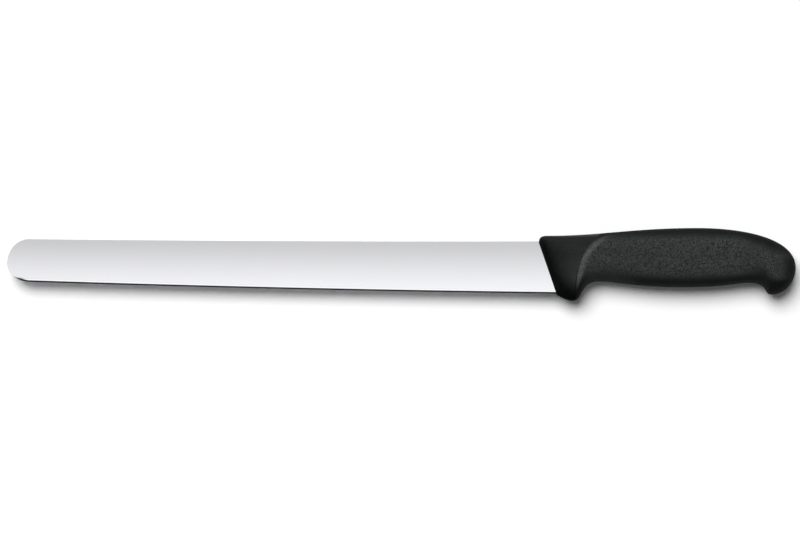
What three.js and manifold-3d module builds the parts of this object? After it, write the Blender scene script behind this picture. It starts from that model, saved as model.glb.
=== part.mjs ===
// Ham knife: a long, narrow slicing blade with a round tip, on a moulded handle.
//
// The blade and its hidden tang are one piece of sheet steel, stamped to an outline and then ground. A hard
// plastic core is moulded round the tang and through the holes in it, and shows in front as a smooth collar.
// A textured soft grip is moulded over the core, and starts at a curved shoulder behind the collar.
//
// Sizes are in millimetres and angles in degrees. The knife is drawn with x along the blade: 0 at the heel,
// where the edge enters the handle, minus at the tip and plus at the butt. y runs from the edge up to the
// spine, with 0 at the spine over the heel. z is the thickness, with 0 in the middle of the blade.

import * as THREE from "three";
import { mergeVertices } from "three/addons/utils/BufferGeometryUtils.js";
import Module from "manifold-3d";

// Blade outline
const bladeLength = 300;
const heelHeight = 28.6;
const tipHeight = 23.4;
const spineRise = 1.2;
const spineBow = 0.5;
const edgeBelly = 0.75;
const tipTopReach = 11.8;
const tipTopDrop = 13.4;
const tipLowReach = 13;

// Blade section
const sheetThickness = 2;
const tipThickness = 1.4;
const thicknessBehindEdge = 0.5;
const bevelHeight = 1.2;
const edgeWidth = 0.1;
const grindBulge = 0.12;

// Tang, which the handle hides
const heelDepth = 7;
const heelFillet = 2.5;
const tangFromButt = 46;
const tangHeight = 14;
const tangEndHeight = 9;
const tangDrop = 9;
const tangHoleDiameter = 5;
const tangHoleCount = 2;

// Handle outline: heights from the spine's line, places from the heel or from the butt
const handleLength = 131;
const frontRake = 19;
const frontLip = 0.75;
const collarRise = 3;
const collarCornerDrop = 3.9;
const collarCornerReach = 4.4;
const crestRise = 7.23;
const crestPlace = 77.3;
const guardDrop = 4.05;
const guardPlace = 8.9;
const frontNotchDepth = 22;
const frontNotchPlace = 23.3;
const bellyDepth = 25.2;
const bellyPlace = 69;
const rearNotchDepth = 22.8;
const rearNotchFromButt = 25.5;
const hookDepth = 29.2;
const hookFromButt = 13.4;
const buttDepth = 14.6;

// The share of its run over which each handle curve holds the direction of its ends
const cornerHold = { upright: 0.65, level: 0.8 };
const chinHold = { along: 0.26, down: 0.45, level: 0.34 };
const crestHold = { front: 0.36, rear: 0.435 };
const backHold = { level: 0.47, upright: 0.75 };
const guardHold = { front: 0.42, rear: 0.74 };
const frontNotchHold = { front: 0.2, rear: 0.58 };
const rearNotchHold = { front: 0.67, rear: 0.215 };
const hookHold = { front: 0.897, rear: 0.352 };
const buttHold = { level: 0.7, upright: 0.36 };

// Shoulder line, where the grip starts, and the ramp behind it
const shoulderLowPlace = 10.7;
const shoulderTopPlace = 25.4;
const shoulderLowBow = 6.2;
const shoulderTopBow = 9.7;
const rampLow = 1.8;
const rampTop = 12;

// Handle thickness, each half of it, and how square its sections are: 2 is an ellipse
const frontFaceWall = 1.7;
const noseLength = 19;
const collarFrontHalf = 6.2;
const collarRearHalf = 6.8;
const gripFrontHalf = 9.8;
const palmHalf = 11;
const waistHalf = 9.7;
const hookHalf = 10.2;
const buttRounding = 13;
const collarSquareness = 2.5;
const gripSquareness = 2.1;

// Core inside the grip
const coreWall = 2.5;
const coreSideWall = 4.2;
const coreEndWall = 8;
const coreSquareness = 3;

// Clearances, and how far a cutting body reaches past what it cuts
const tangClearance = 0.3;
const gripClearance = 0.3;
const overshoot = 2;

// Facets: rings are crowded towards the front of the collar and towards both ends of the grip
const bladeStations = 14;
const curveSegments = 14;
const grindSteps = 3;
const collarStations = 14;
const collarCrowding = 1.6;
const gripStations = 44;
const gripCrowding = 1.35;
const coreStations = 10;
const halfRing = 16;
const coreHalfRing = 10;
const mergeDistance = 1e-4;
const bisections = 40;

const rad = THREE.MathUtils.degToRad;
const lerp = THREE.MathUtils.lerp;
const clamp = THREE.MathUtils.clamp;
const smoothstep = THREE.MathUtils.smoothstep;
const quarter = Math.PI / 2;
const point = (x, y) => new THREE.Vector2(x, y);

const wasm = await Module();
wasm.setup();

// SOLIDS

// A closed geometry as a solid that can be cut and joined.
function solidOf(geometry) {
  const bare = new THREE.BufferGeometry();
  bare.setAttribute("position", geometry.getAttribute("position"));
  bare.setIndex(geometry.getIndex());
  const merged = mergeVertices(bare, mergeDistance);
  const mesh = new wasm.Mesh({
    numProp: 3,
    vertProperties: merged.getAttribute("position").array,
    triVerts: new Uint32Array(merged.getIndex().array),
  });
  return new wasm.Manifold(mesh);
}

// A solid as a geometry that three.js can draw.
function geometryOf(solid) {
  const mesh = solid.getMesh();
  const geometry = new THREE.BufferGeometry();
  geometry.setAttribute("position", new THREE.BufferAttribute(mesh.vertProperties, mesh.numProp));
  geometry.setIndex(new THREE.BufferAttribute(mesh.triVerts, 1));
  geometry.computeVertexNormals();
  return geometry;
}

// Joins rings of points into a closed skin. A ring starts at its highest point, goes down one side and comes
// back up the other, so points k and -k lie opposite each other, and strips between them close both ends.
function loft(rings) {
  const count = rings[0].length;
  const half = count / 2;
  const last = rings.length - 1;
  const positions = rings.flat().flatMap((p) => [p.x, p.y, p.z]);
  const index = [];
  const at = (ring, k) => ring * count + ((k + count) % count);
  for (let r = 0; r < last; r++) {
    for (let k = 0; k < count; k++) {
      index.push(at(r, k), at(r, k + 1), at(r + 1, k + 1));
      index.push(at(r, k), at(r + 1, k + 1), at(r + 1, k));
    }
  }
  for (let k = 0; k < half; k++) {
    if (k > 0) {
      index.push(at(0, k), at(0, -k), at(0, k + 1));
      index.push(at(last, k), at(last, k + 1), at(last, -k));
    }
    if (k < half - 1) {
      index.push(at(0, -k), at(0, -k - 1), at(0, k + 1));
      index.push(at(last, -k), at(last, k + 1), at(last, -k - 1));
    }
  }
  const geometry = new THREE.BufferGeometry();
  geometry.setAttribute("position", new THREE.Float32BufferAttribute(positions, 3));
  geometry.setIndex(index);
  return geometry;
}

// Places from one x to another, both included.
function placesAlong(from, to, steps) {
  return Array.from({ length: steps + 1 }, (_, i) => lerp(from, to, i / steps));
}

// BLADE

const tipX = -bladeLength;
const tipTopX = tipX + tipTopReach;
const tipLowX = tipX + tipLowReach;
const tipLowDrop = tipHeight - tipTopDrop;
const tipMiddleY = spineRise - tipTopDrop;

// A shallow curve between two heights, with a bow in the middle. Past the heel it stays at the heel's height.
function shallowCurve(x, startX, startY, heelY, bow) {
  const t = Math.min((x - startX) / -startX, 1);
  return lerp(startY, heelY, t) + 4 * bow * t * (1 - t);
}
const spineAt = (x) => shallowCurve(x, tipTopX, spineRise, 0, -spineBow);
const edgeAt = (x) => shallowCurve(x, tipLowX, spineRise - tipHeight, -heelHeight, -edgeBelly);

const tangStartX = heelDepth;
const tangEndX = handleLength - tangFromButt;
const tangHalfAt = (x) => lerp(tangHeight, tangEndHeight, (x - tangStartX) / (tangEndX - tangStartX)) / 2;
const tangHoleXs = placesAlong(tangStartX, tangEndX, tangHoleCount + 1).slice(1, -1);

// The stamped outline of blade and tang, grown all round by a clearance.
function stampedOutline(grow) {
  const outline = new THREE.Shape();
  const heelX = tangStartX + grow;
  const filletX = heelX + heelFillet;
  const roundX = tangEndX - tangEndHeight / 2;
  const lowTang = (x) => -tangDrop - tangHalfAt(x) - grow;
  const topTang = (x) => -tangDrop + tangHalfAt(x) + grow;
  const endReach = tangEndX - roundX + grow;
  const endHalf = topTang(roundX) + tangDrop;
  outline.moveTo(tipLowX, edgeAt(tipLowX) - grow);
  for (const x of placesAlong(tipLowX, 0, bladeStations)) outline.lineTo(x, edgeAt(x) - grow);
  outline.lineTo(heelX, edgeAt(heelX) - grow);
  outline.lineTo(heelX, lowTang(filletX) - heelFillet);
  outline.quadraticCurveTo(heelX, lowTang(filletX), filletX, lowTang(filletX));
  outline.lineTo(roundX, lowTang(roundX));
  outline.absellipse(roundX, -tangDrop, endReach, endHalf, -quarter, quarter);
  outline.lineTo(filletX, topTang(filletX));
  outline.quadraticCurveTo(heelX, topTang(filletX), heelX, topTang(filletX) + heelFillet);
  outline.lineTo(heelX, spineAt(heelX) + grow);
  for (const x of placesAlong(0, tipTopX, bladeStations)) outline.lineTo(x, spineAt(x) + grow);
  outline.absellipse(tipTopX, tipMiddleY, tipTopReach + grow, tipTopDrop + grow, quarter, 2 * quarter);
  outline.absellipse(tipLowX, tipMiddleY, tipLowReach + grow, tipLowDrop + grow, 2 * quarter, 3 * quarter);
  for (const x of tangHoleXs) {
    const hole = new THREE.Path();
    hole.absarc(x, -tangDrop, tangHoleDiameter / 2 - grow, 0, 4 * quarter);
    outline.holes.push(hole);
  }
  return outline;
}

// The section that grinding leaves at one place: heights from the spine down, each with half the thickness.
function groundSection(x, grow) {
  const spineHalf = lerp(sheetThickness, tipThickness, clamp(-x / bladeLength, 0, 1)) / 2;
  const behindEdgeHalf = thicknessBehindEdge / 2;
  const bevelY = edgeAt(x) + bevelHeight;
  const section = [[spineAt(x) + overshoot, spineHalf]];
  for (const down of placesAlong(0, 1, grindSteps)) {
    const bulge = 4 * grindBulge * down * (1 - down);
    section.push([lerp(spineAt(x), bevelY, down), lerp(spineHalf, behindEdgeHalf, down) + bulge]);
  }
  section.push([edgeAt(x), edgeWidth / 2]);
  section.push([edgeAt(x) - overshoot, edgeWidth / 2]);
  return section.map(([y, half]) => [y, half + grow]);
}

// The same heights with the full thickness of the sheet, for the tang.
function sheetSection(grow) {
  return groundSection(0, grow).map(([y]) => [y, sheetThickness / 2 + grow]);
}

// A section as a closed ring with a point in the middle of its top and of its bottom.
function sectionRing(x, section) {
  const [topY] = section[0];
  const [lowY] = section[section.length - 1];
  const front = section.map(([y, half]) => new THREE.Vector3(x, y, half));
  const rear = section.map(([y, half]) => new THREE.Vector3(x, y, -half)).reverse();
  return [new THREE.Vector3(x, topY, 0), ...front, new THREE.Vector3(x, lowY, 0), ...rear];
}

// All that grinding leaves: a wedge along the blade, which runs out into the full sheet inside the handle.
function groundEnvelope(grow) {
  const bladeXs = placesAlong(tipX - overshoot, 0, bladeStations);
  const tangXs = [tangStartX, tangEndX + overshoot];
  const blade = bladeXs.map((x) => sectionRing(x, groundSection(x, grow)));
  const tang = tangXs.map((x) => sectionRing(x, sheetSection(grow)));
  return loft([...blade, ...tang]);
}

// Blade and tang in one piece, or the room that they need when grown by a clearance.
function groundBlade(grow) {
  const depth = sheetThickness + 2 * (grow + overshoot);
  const extrusion = { depth, bevelEnabled: false, curveSegments };
  const sheet = new THREE.ExtrudeGeometry(stampedOutline(grow), extrusion);
  sheet.translate(0, 0, -depth / 2);
  return solidOf(sheet).intersect(solidOf(groundEnvelope(grow)));
}

// HANDLE OUTLINE

// A curve between two points that is level at both.
function levelSweep(from, to, hold) {
  const leave = point(lerp(from.x, to.x, hold.front), from.y);
  const arrive = point(lerp(to.x, from.x, hold.rear), to.y);
  return new THREE.CubicBezierCurve(from, leave, arrive, to);
}

// A quarter turn between a level point and an upright one.
function quarterTurn(from, to, hold) {
  const level = point(lerp(from.x, to.x, hold.level), from.y);
  const upright = point(to.x, lerp(to.y, from.y, hold.upright));
  return new THREE.CubicBezierCurve(from, level, upright, to);
}

const frontXAt = (y) => -(y + heelHeight) * Math.tan(rad(frontRake));
const frontLow = point(frontXAt(-heelHeight - frontLip), -heelHeight - frontLip);
const frontTop = point(frontXAt(collarRise - collarCornerDrop), collarRise - collarCornerDrop);
const collarTop = point(frontTop.x + collarCornerReach, collarRise);
const crest = point(crestPlace, crestRise);
const butt = point(handleLength, -buttDepth);
const guard = point(guardPlace, -heelHeight - guardDrop);
const frontNotch = point(frontNotchPlace, -frontNotchDepth);
const belly = point(bellyPlace, -bellyDepth);
const rearNotch = point(handleLength - rearNotchFromButt, -rearNotchDepth);
const hook = point(handleLength - hookFromButt, -hookDepth);

// The rounded corner over the spine, and the chin from the front face down to the guard.
const cornerTurn = new THREE.CubicBezierCurve(
  frontTop,
  point(frontTop.x, lerp(frontTop.y, collarTop.y, cornerHold.upright)),
  point(lerp(collarTop.x, frontTop.x, cornerHold.level), collarTop.y),
  collarTop,
);
const chinTurn = new THREE.CubicBezierCurve(
  frontLow,
  point(lerp(frontLow.x, guard.x, chinHold.along), lerp(frontLow.y, guard.y, chinHold.down)),
  point(lerp(guard.x, frontLow.x, chinHold.level), guard.y),
  guard,
);
const topOutline = [cornerTurn, levelSweep(collarTop, crest, crestHold), quarterTurn(crest, butt, backHold)];
const lowOutline = [
  chinTurn,
  levelSweep(guard, frontNotch, guardHold),
  levelSweep(frontNotch, belly, frontNotchHold),
  levelSweep(belly, rearNotch, rearNotchHold),
  levelSweep(rearNotch, hook, hookHold),
  quarterTurn(hook, butt, buttHold),
];

// The point of an outline at one x. Every outline curve runs towards plus x.
function outlineAt(outline, x) {
  const curve = outline.find((c) => x <= c.v3.x) ?? outline[outline.length - 1];
  let low = 0;
  let high = 1;
  for (let i = 0; i < bisections; i++) {
    const middle = (low + high) / 2;
    if (curve.getPoint(middle).x < x) low = middle;
    else high = middle;
  }
  return curve.getPoint(high);
}

// A line across the handle from its underside to its top, bowed forward by a share of the shoulder's bow.
function ribLine(lowX, topX, bowShare) {
  const low = outlineAt(lowOutline, lowX);
  const top = outlineAt(topOutline, topX);
  const forward = point(low.y - top.y, top.x - low.x).normalize().multiplyScalar(bowShare);
  const lowThird = low.clone().lerp(top, 1 / 3).addScaledVector(forward, shoulderLowBow);
  const topThird = low.clone().lerp(top, 2 / 3).addScaledVector(forward, shoulderTopBow);
  return new THREE.CubicBezierCurve(low, lowThird, topThird, top);
}

// HANDLE SECTIONS

// How thick a rounded section is at a height between -1 and 1, as a share of its half thickness.
const roundness = (height, squareness) => (1 - Math.abs(height) ** squareness) ** (1 / squareness);

// How much is left of a size on the way into a round end, from all of it at 0 to nothing at 1.
const roundEnd = (into) => Math.sqrt(1 - clamp(into, 0, 1) ** 2);

// The heights of a ring's points, from 1 down to -1 and back up, closer together towards both ends.
function ringHeights(half) {
  return Array.from({ length: 2 * half }, (_, k) => Math.cos((Math.PI * k) / half));
}

// A value that goes smoothly through a row of [place, value] pairs.
function smoothAlong(x, pairs) {
  const next = pairs.findIndex(([place]) => place >= x);
  if (next === 0) return pairs[0][1];
  if (next < 0) return pairs[pairs.length - 1][1];
  const [beforeX, before] = pairs[next - 1];
  const [afterX, after] = pairs[next];
  return lerp(before, after, smoothstep(x, beforeX, afterX));
}

// Half the thickness of the collar at a point, in from its rounded front face.
function collarHalfAt(p, towardsRear) {
  const depth = (p.x - frontXAt(p.y)) * Math.cos(rad(frontRake));
  const faceHalf = sheetThickness / 2 + frontFaceWall;
  const fullHalf = lerp(collarFrontHalf, collarRearHalf, towardsRear);
  return lerp(faceHalf, fullHalf, roundEnd(1 - depth / noseLength));
}

// Half the thickness of the grip at one place: it swells at the palm and rounds off at the butt.
function gripHalfAt(x) {
  const swell = smoothAlong(x, [
    [shoulderTopPlace, gripFrontHalf],
    [bellyPlace, palmHalf],
    [rearNotch.x, waistHalf],
    [hook.x, hookHalf],
  ]);
  return swell * roundEnd((x - handleLength + buttRounding) / buttRounding);
}

// A ring of points round a rib line, with the half thickness that a rule gives at each.
function ribRing(rib, halfThickness) {
  return ringHeights(halfRing).map((height, k) => {
    const p = rib.getPoint((1 + height) / 2);
    const side = k < halfRing ? 1 : -1;
    return new THREE.Vector3(p.x, p.y, side * halfThickness(p, height));
  });
}

// The collar, from the front face back to the shoulder line.
function collarLoft() {
  const rings = placesAlong(0, 1, collarStations).map((share) => {
    const back = share ** collarCrowding;
    const lowX = lerp(frontLow.x, shoulderLowPlace, back);
    const topX = lerp(frontTop.x, shoulderTopPlace, back);
    const half = (p, height) => collarHalfAt(p, back) * roundness(height, collarSquareness);
    return ribRing(ribLine(lowX, topX, back), half);
  });
  return solidOf(loft(rings));
}

// The grip, from the shoulder line back to the butt. It leaves the collar flush and climbs a ramp to its own
// thickness, and the ramp is longest at the top.
function gripLoft() {
  const shoulder = ribLine(shoulderLowPlace, shoulderTopPlace, 1);
  const half = (p, height) => {
    const up = (1 + height) / 2;
    const climbed = clamp((p.x - shoulder.getPoint(up).x) / lerp(rampLow, rampTop, up), 0, 1);
    const collar = collarRearHalf * roundness(height, collarSquareness);
    const grip = gripHalfAt(p.x) * roundness(height, gripSquareness);
    return lerp(Math.min(collar, grip), grip, Math.sin(quarter * climbed));
  };
  const rings = placesAlong(0, 1, gripStations).slice(0, -1).map((share) => {
    const back = Math.sin(quarter * share ** gripCrowding);
    const lowX = lerp(shoulderLowPlace + gripClearance, handleLength, back);
    const slant = 1 - smoothstep(lowX, shoulderLowPlace, bellyPlace);
    const topX = lowX + (shoulderTopPlace - shoulderLowPlace) * slant;
    return ribRing(ribLine(lowX, topX, slant), half);
  });
  return solidOf(loft(rings));
}

// The hidden length of the core: a rounded bar about the tang, or the room that it needs in the grip.
function coreBar(grow) {
  const endX = tangEndX + coreEndWall + grow;
  const rings = placesAlong(0, 1, coreStations).slice(0, -1).map((share) => {
    const x = lerp(tangStartX, endX, Math.sin(quarter * share));
    const taper = roundEnd((x - tangEndX) / (endX - tangEndX));
    const halfHeight = (tangHalfAt(x) + coreWall) * taper + grow;
    const halfThickness = (sheetThickness / 2 + coreSideWall) * taper + grow;
    return ringHeights(coreHalfRing).map((height, k) => {
      const side = k < coreHalfRing ? 1 : -1;
      const z = side * halfThickness * roundness(height, coreSquareness);
      return new THREE.Vector3(x, -tangDrop + halfHeight * height, z);
    });
  });
  return solidOf(loft(rings));
}

// PARTS

function part(name, solid, material) {
  const mesh = new THREE.Mesh(geometryOf(solid), new THREE.MeshStandardMaterial(material));
  mesh.name = name;
  return mesh;
}

const steel = { color: 0xd4d5d8, roughness: 0.22, metalness: 1 };
const hardPlastic = { color: 0x141616, roughness: 0.5, metalness: 0 };
const softGrip = { color: 0x1b1d1d, roughness: 0.65, metalness: 0 };

const bladeSolid = groundBlade(0);
const coreSolid = collarLoft().add(coreBar(0)).subtract(groundBlade(tangClearance));
const gripSolid = gripLoft().subtract(coreBar(gripClearance));

// The knife lies on its side, with its origin under the middle of its length and height.
const lying = new THREE.Group();
lying.add(part("blade", bladeSolid, steel));
lying.add(part("handle_core", coreSolid, hardPlastic));
lying.add(part("handle_grip", gripSolid, softGrip));
const extent = new THREE.Box3().setFromObject(lying);
const middle = extent.getCenter(new THREE.Vector3());
lying.position.set(-middle.x, -middle.y, -extent.min.z);

const knife = new THREE.Group();
knife.add(lying);

export default knife;
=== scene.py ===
"""Ham knife: a long slicing blade of ground steel on a black moulded handle, lying on a pale floor.

The pieces are drawn in millimetres in the knife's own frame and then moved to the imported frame: x is 0 at
the heel, where the edge enters the handle, minus at the tip and plus at the butt; y runs from the edge up
to the spine, with 0 at the spine over the heel; z is the thickness, with 0 in the middle of the blade.
"""

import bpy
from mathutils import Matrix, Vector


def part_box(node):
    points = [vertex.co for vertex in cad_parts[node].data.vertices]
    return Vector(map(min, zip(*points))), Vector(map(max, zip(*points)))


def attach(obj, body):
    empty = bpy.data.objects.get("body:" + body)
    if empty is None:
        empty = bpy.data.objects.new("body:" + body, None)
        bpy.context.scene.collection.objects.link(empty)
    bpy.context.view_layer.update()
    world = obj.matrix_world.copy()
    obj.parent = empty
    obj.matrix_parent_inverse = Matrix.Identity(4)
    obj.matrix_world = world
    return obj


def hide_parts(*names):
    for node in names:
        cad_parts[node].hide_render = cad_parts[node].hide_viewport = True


bl_info = {
    "name": "Ham knife",
    "version": (1, 0, 0),
    "blender": (4, 5, 0),
    "location": "3D View > Sidebar > Ham knife",
    "description": "Builds a ham knife: a ground blade, a moulded core with a collar, and a grained grip",
    "category": "Object",
}

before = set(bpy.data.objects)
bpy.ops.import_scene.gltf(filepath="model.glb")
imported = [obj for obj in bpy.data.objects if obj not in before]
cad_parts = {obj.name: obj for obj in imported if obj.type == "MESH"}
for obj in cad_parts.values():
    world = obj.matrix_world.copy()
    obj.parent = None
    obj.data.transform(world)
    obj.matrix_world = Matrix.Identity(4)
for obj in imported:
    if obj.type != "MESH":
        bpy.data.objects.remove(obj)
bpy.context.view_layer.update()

import math

import bmesh
import bpy
import numpy as np
from bpy.props import FloatProperty, FloatVectorProperty, PointerProperty
from bpy.types import Operator, Panel, PropertyGroup
from mathutils import Vector

BLADE_LOW, BLADE_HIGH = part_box("blade")
GRIP_LOW, GRIP_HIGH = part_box("handle_grip")
BODY = "root"
MM = 0.001

# Blade outline
BLADE_LENGTH = 300.0
HEEL_HEIGHT = 28.6
TIP_HEIGHT = 23.4
SPINE_RISE = 1.2
SPINE_BOW = 0.5
EDGE_BELLY = 0.75
TIP_TOP_REACH = 11.8
TIP_TOP_DROP = 13.4
TIP_LOW_REACH = 13.0

# Blade section
SHEET_HALF = 1.0
SPINE_CHAMFER = 0.12
GRIND_CURVING = 0.00155
BAND_TOP_HALF = 0.53
BAND_LOW_HALF = 0.43
BAND_TOP = 1.4
BAND_LOW = 0.85
EDGE_HALF = 0.05
RIM_STEP = 0.06
TIP_RIM_SHARE = 1 / 8
TIP_CHAMFER_SHARE = 1 / 6
KEEN_START = 3.5
KEEN_FULL = 8.0

# Tang, which the handle hides
HEEL_DEPTH = 7.0
TANG_END = 85.0
TANG_HEIGHT = 14.0
TANG_END_HEIGHT = 9.0
TANG_DROP = 9.0

# Handle outline
FRONT_RAKE = math.radians(19.0)
FRONT_LIP = 0.75
COLLAR_RISE = 3.0
COLLAR_CORNER_DROP = 3.9
COLLAR_CORNER_REACH = 4.4
CREST = (77.3, 7.23)
GUARD = (8.9, -32.65)
FRONT_NOTCH = (23.3, -22.0)
BELLY = (69.0, -25.2)
REAR_NOTCH_FROM_BUTT = 25.5
REAR_NOTCH_DEPTH = 22.8
HOOK_FROM_BUTT = 13.4
HOOK_DEPTH = 29.2
BUTT_DEPTH = 14.6

# The share of its run over which each handle curve holds the direction of its front end and of its rear end
CORNER_HOLD = (0.65, 0.8)
CHIN_HOLD_ALONG = 0.26
CHIN_HOLD_DOWN = 0.45
CHIN_HOLD_LEVEL = 0.34
CREST_HOLD = (0.36, 0.435)
BACK_HOLD = (0.47, 0.75)
GUARD_HOLD = (0.42, 0.74)
FRONT_NOTCH_HOLD = (0.2, 0.58)
REAR_NOTCH_HOLD = (0.67, 0.215)
HOOK_HOLD = (0.897, 0.352)
BUTT_HOLD = (0.7, 0.36)

# Shoulder line, where the grip starts, and the ramp behind it
SHOULDER_LOW = 10.7
SHOULDER_TOP = 25.4
SHOULDER_LOW_BOW = 6.2
SHOULDER_TOP_BOW = 9.7
RAMP_LOW = 1.8
RAMP_TOP = 12.0
# How the ramp's painted highlight fades towards the underside and the top, up the ramp, and in from the
# shoulder line
RAMP_LOW_FADE = (-0.82, -0.36)
RAMP_TOP_FADE = (0.85, 0.1)
RAMP_FADING = 3.2
RAMP_LOW_RISE = 0.1
RAMP_TOP_RISE = 2.4

# Where the handle's skin turns smooth and dull, and where the grip's colour is also darkened as painted
# shade: heights in a section, and spans along the handle
COLLAR_SMOOTH_LOW = (-0.1, -1.02)
COLLAR_SMOOTH_TOP = (0.88, 1.12)
COLLAR_SMOOTH_NOSE = (5.2, -1.2)
GRIP_SMOOTH_LOW = (-0.42, -0.84)
NOTCH_SMOOTH_LOW = (-0.02, -0.6)
NOTCH_SMOOTH_SPAN = (34.0, 11.0)
HOOK_SMOOTH_LOW = (-0.24, -0.56)
HOOK_SMOOTH_SPAN = (18.0, 10.0)
GRIP_SMOOTH_TOP = (0.52, 0.9)
BUTT_SMOOTH_TOP = (0.24, 0.86)
BUTT_SMOOTH_SPAN = (34.0, 21.0)
GRIP_SMOOTH_BUTT = (14.0, 2.0)
FRONT_SMOOTH_LOW = (-0.31, -1.03)
FRONT_SMOOTH_TOP = (0.42, 0.88)
FRONT_SMOOTH_SPAN = (48.0, 30.0)
GUARD_SMOOTH_LOW = (-0.34, -0.75)
GUARD_SMOOTH_SPAN = (20.0, 13.0)

# Handle sections
FACE_WALL = 1.7
NOSE_LENGTH = 19.0
COLLAR_FRONT_HALF = 6.2
COLLAR_REAR_HALF = 6.8
GRIP_FRONT_HALF = 9.8
WAIST_HALF = 9.7
HOOK_HALF = 10.2
BUTT_ROUNDING = 13.0
COLLAR_SQUARENESS = 2.5
GRIP_SQUARENESS = 2.1
MOUTH_RISE = 0.6
SEAM_ROLL = 0.04
SEAM_GAP = 0.01

# Core inside the grip
CORE_WALL = 2.5
CORE_SIDE_WALL = 4.2
CORE_END_WALL = 8.0
CORE_SQUARENESS = 3.0
BAR_START = 27.0
FIT = 0.08

# How finely the pieces are drawn, and how near their stations come to the round ends
HALF_RING = 48
FACE_ROWS = 18
TIP_STATIONS = 30
TIP_FIRST_TURN = 0.06
BLADE_STATIONS = 70
TANG_STATIONS = 8
TANG_END_STATIONS = 7
TANG_END_TURNS = (0.2, 1.4)
COLLAR_STATIONS = 60
COLLAR_CROWDING = 1.6
GRIP_STATIONS = 150
GRIP_CROWDING = 1.35
GRIP_END_SHARE = 0.998
BAR_STATIONS = 24
BAR_END_SHARE = 0.985
CORNER_SAMPLES = 400
BISECTIONS = 44


def lerp(a, b, t):
    """The value a share t of the way from a to b."""
    return a + (b - a) * t


def smoothstep(x, low, high):
    """A smooth step from 0 at low to 1 at high."""
    t = np.clip((np.asarray(x, float) - low) / (high - low), 0.0, 1.0)
    return t * t * (3.0 - 2.0 * t)


def round_end(into):
    """How much is left of a size on the way into a round end, from all of it at 0 to nothing at 1."""
    return np.sqrt(1.0 - np.clip(into, 0.0, 1.0) ** 2)


def roundness(height, squareness):
    """How thick a rounded section is at a height between -1 and 1; a squareness of 2 is an ellipse."""
    return (1.0 - np.abs(height) ** squareness) ** (1.0 / squareness)


# OUTLINES


def cubic(points, t):
    """Points on a cubic curve."""
    t = np.asarray(t, float)[..., None]
    u = 1.0 - t
    p = np.asarray(points, float)
    return u**3 * p[0] + 3 * u**2 * t * p[1] + 3 * u * t**2 * p[2] + t**3 * p[3]


def level_sweep(start, end, front, rear):
    """A curve that is level at both ends."""
    leave = (lerp(start[0], end[0], front), start[1])
    arrive = (lerp(end[0], start[0], rear), end[1])
    return np.array([start, leave, arrive, end])


def quarter_turn(start, end, level, upright):
    """A curve from a level point to an upright one."""
    flat = (lerp(start[0], end[0], level), start[1])
    steep = (end[0], lerp(end[1], start[1], upright))
    return np.array([start, flat, steep, end])


def front_x(y):
    """Where the raked front face lies at a height."""
    return -(y + HEEL_HEIGHT) * math.tan(FRONT_RAKE)


def nose_depth(points):
    """How far behind the raked front face points lie."""
    return (points[:, 0] - front_x(points[:, 1])) * math.cos(FRONT_RAKE)


def tang_half(x):
    """Half the height of the tang, which narrows towards its end."""
    return lerp(TANG_HEIGHT, TANG_END_HEIGHT, (x - HEEL_DEPTH) / (TANG_END - HEEL_DEPTH)) / 2


FRONT_LOW = (front_x(-HEEL_HEIGHT - FRONT_LIP), -HEEL_HEIGHT - FRONT_LIP)
FRONT_TOP = (front_x(COLLAR_RISE - COLLAR_CORNER_DROP), COLLAR_RISE - COLLAR_CORNER_DROP)
COLLAR_TOP = (FRONT_TOP[0] + COLLAR_CORNER_REACH, COLLAR_RISE)


def handle_outlines(length):
    """The curves along the top and along the underside of the handle, from the front to the butt."""
    butt = (length, -BUTT_DEPTH)
    rear_notch = (length - REAR_NOTCH_FROM_BUTT, -REAR_NOTCH_DEPTH)
    hook = (length - HOOK_FROM_BUTT, -HOOK_DEPTH)
    corner = np.array(
        [
            FRONT_TOP,
            (FRONT_TOP[0], lerp(FRONT_TOP[1], COLLAR_TOP[1], CORNER_HOLD[0])),
            (lerp(COLLAR_TOP[0], FRONT_TOP[0], CORNER_HOLD[1]), COLLAR_TOP[1]),
            COLLAR_TOP,
        ]
    )
    chin = np.array(
        [
            FRONT_LOW,
            (lerp(FRONT_LOW[0], GUARD[0], CHIN_HOLD_ALONG), lerp(FRONT_LOW[1], GUARD[1], CHIN_HOLD_DOWN)),
            (lerp(GUARD[0], FRONT_LOW[0], CHIN_HOLD_LEVEL), GUARD[1]),
            GUARD,
        ]
    )
    top = [
        corner,
        level_sweep(COLLAR_TOP, CREST, *CREST_HOLD),
        quarter_turn(CREST, butt, *BACK_HOLD),
    ]
    low = [
        chin,
        level_sweep(GUARD, FRONT_NOTCH, *GUARD_HOLD),
        level_sweep(FRONT_NOTCH, BELLY, *FRONT_NOTCH_HOLD),
        level_sweep(BELLY, rear_notch, *REAR_NOTCH_HOLD),
        level_sweep(rear_notch, hook, *HOOK_HOLD),
        quarter_turn(hook, butt, *BUTT_HOLD),
    ]
    return top, low


def point_at(curves, x):
    """The point of an outline at one x. Every curve of it runs towards plus x."""
    curve = next((c for c in curves if x <= c[3][0]), curves[-1])
    low = 0.0
    high = 1.0
    for _ in range(BISECTIONS):
        middle = (low + high) / 2
        if cubic(curve, middle)[0] < x:
            low = middle
        else:
            high = middle
    return cubic(curve, high)


def corner_x(outlines, y):
    """Where the rounded top corner of the collar lies at a height."""
    corner = cubic(outlines[0][0], np.linspace(0, 1, CORNER_SAMPLES))
    return np.interp(y, corner[:, 1], corner[:, 0])


# RINGS


def ring_heights():
    """The heights of a ring's points: from 1 down one side to -1 and back up the other."""
    return np.cos(np.pi * np.arange(2 * HALF_RING) / HALF_RING)


def ring_sides():
    """On which side of the middle each point of a ring lies."""
    return np.where(np.arange(2 * HALF_RING) < HALF_RING, 1.0, -1.0)


HEIGHTS = ring_heights()
SIDES = ring_sides()


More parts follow.
